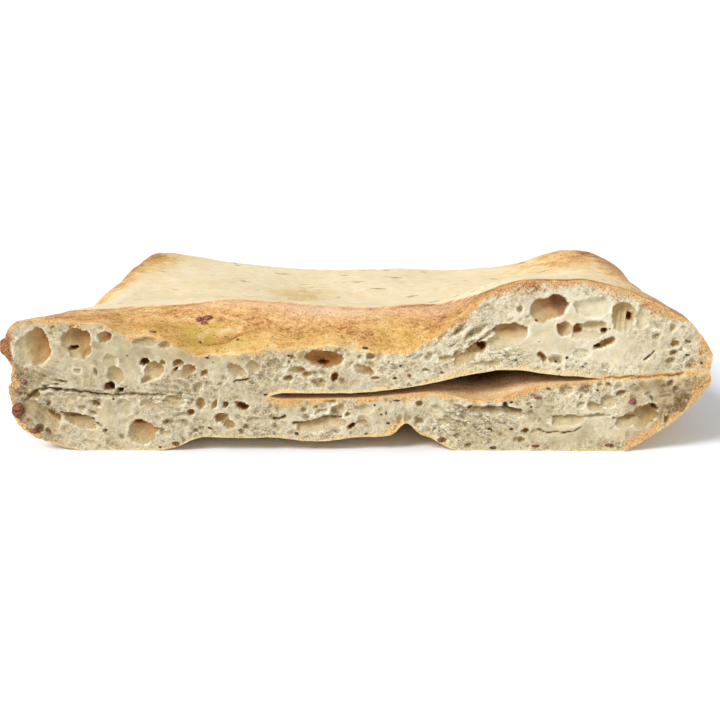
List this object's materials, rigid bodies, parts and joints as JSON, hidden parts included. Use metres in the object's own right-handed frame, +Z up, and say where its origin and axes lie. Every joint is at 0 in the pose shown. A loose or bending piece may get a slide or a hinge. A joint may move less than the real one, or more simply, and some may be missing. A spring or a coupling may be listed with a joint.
{
  "type": "pinsa",
  "caption": "Cut piece of pinsa flatbread: thin baked layers fused together, with an open crumb and a flat pocket at the cut face.",
  "frame": {"origin": "on the resting plane, under the middle of the bread's box", "axes": "+Z up, +X along the cut edge, the cut face looks along -Y and the baked far end along +Y"},
  "size_m": [0.2084, 0.1464, 0.05],
  "materials": {
    "baked_crust": "golden baked crust with flour on top, browner at the edges and over the blisters",
    "crumb": "cream open crumb with tan cell walls",
    "bran": "dark brown flakes of bran and toasted bits"
  },
  "bodies": {
    "root": {"pinsa": "baked_crust"}
  },
  "joints": []
}
